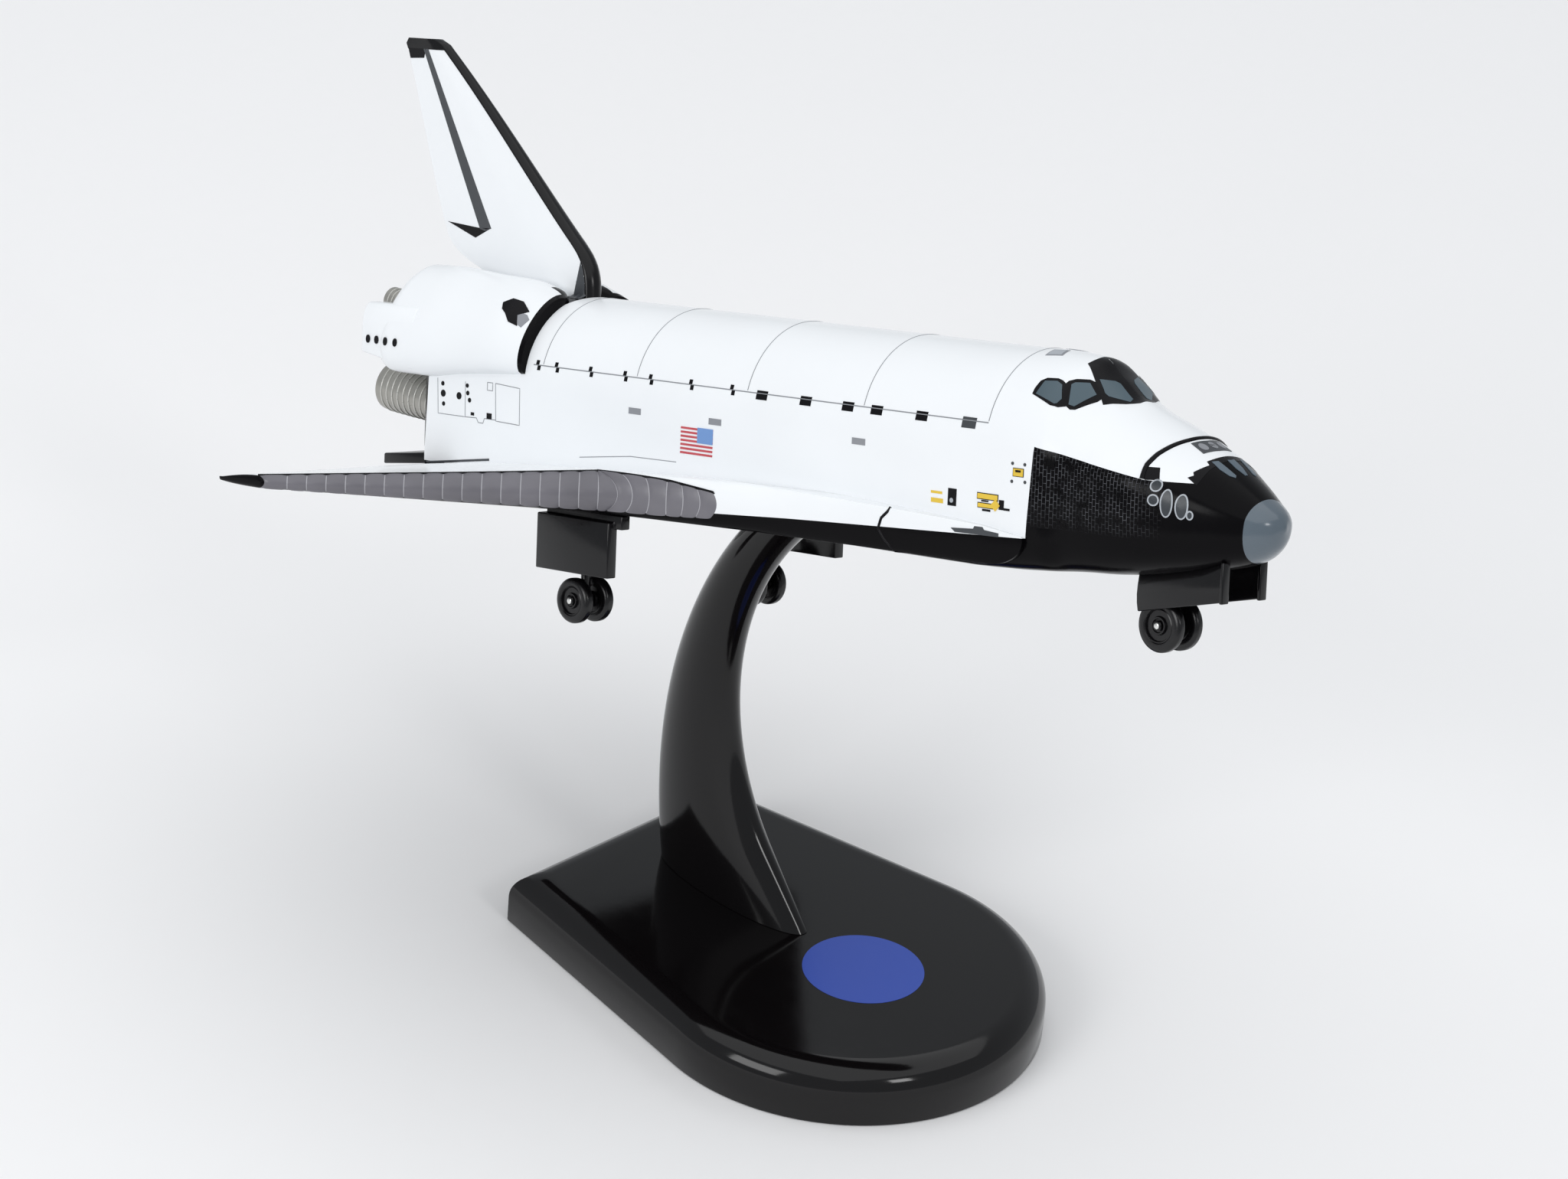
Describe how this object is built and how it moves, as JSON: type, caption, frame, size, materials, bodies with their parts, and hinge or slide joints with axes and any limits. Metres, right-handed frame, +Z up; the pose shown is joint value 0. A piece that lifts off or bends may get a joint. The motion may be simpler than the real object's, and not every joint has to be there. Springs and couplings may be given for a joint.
{
  "type": "space shuttle display model",
  "caption": "Display model of a winged space shuttle orbiter with wheels down, held nose up and banked on a curved arm over a flat black base.",
  "frame": {"origin": "centre of the stand base's underside, halfway between its rear edge and the front of its round end", "axes": "+Z up from the surface it stands on; the orbiter's nose points toward -Y and its tail toward +Y; +X is the orbiter's port side"},
  "size_m": [0.079, 0.1247, 0.0797],
  "materials": {
    "white_gloss": "gloss",
    "black_gloss": "gloss",
    "nozzle_metal": "satin",
    "wheel_black": "gloss",
    "pin_metal": "satin"
  },
  "bodies": {
    "model": {"stand_base": "black_gloss", "stand_arm": "black_gloss", "orbiter_body": "white_gloss", "wing_and_belly": "white_gloss", "vertical_tail": "white_gloss", "engine_bulkhead": "black_gloss", "main_engine_top": "nozzle_metal", "main_engine_starboard": "nozzle_metal", "main_engine_port": "nozzle_metal", "pod_engine_starboard": "nozzle_metal", "pod_engine_port": "nozzle_metal", "body_flap": "black_gloss", "nose_gear_leg": "black_gloss", "nose_gear_door_starboard": "black_gloss", "nose_gear_door_port": "black_gloss", "main_gear_starboard_leg": "black_gloss", "main_gear_door_starboard": "black_gloss", "main_gear_port_leg": "black_gloss", "main_gear_door_port": "black_gloss"},
    "nose_wheels": {"nose_gear_axle": "pin_metal", "nose_gear_wheel_starboard": "wheel_black", "nose_gear_wheel_port": "wheel_black"},
    "main_wheels_starboard": {"main_gear_starboard_axle": "pin_metal", "main_gear_starboard_wheel_inner": "wheel_black", "main_gear_starboard_wheel_outer": "wheel_black"},
    "main_wheels_port": {"main_gear_port_axle": "pin_metal", "main_gear_port_wheel_inner": "wheel_black", "main_gear_port_wheel_outer": "wheel_black"}
  },
  "joints": [
    {"name": "nose_wheels_turn", "type": "hinge", "parent": "model", "child": "nose_wheels", "pos_m": [-0.00018, -0.04124, 0.06025], "axis": [0.9714, -0.0521, -0.2318], "continuous": true},
    {"name": "main_wheels_starboard_turn", "type": "hinge", "parent": "model", "child": "main_wheels_starboard", "pos_m": [-0.01413, 0.01963, 0.04076], "axis": [0.9714, -0.0521, -0.2318], "continuous": true},
    {"name": "main_wheels_port_turn", "type": "hinge", "parent": "model", "child": "main_wheels_port", "pos_m": [0.00958, 0.01836, 0.03511], "axis": [0.9714, -0.0521, -0.2318], "continuous": true}
  ]
}
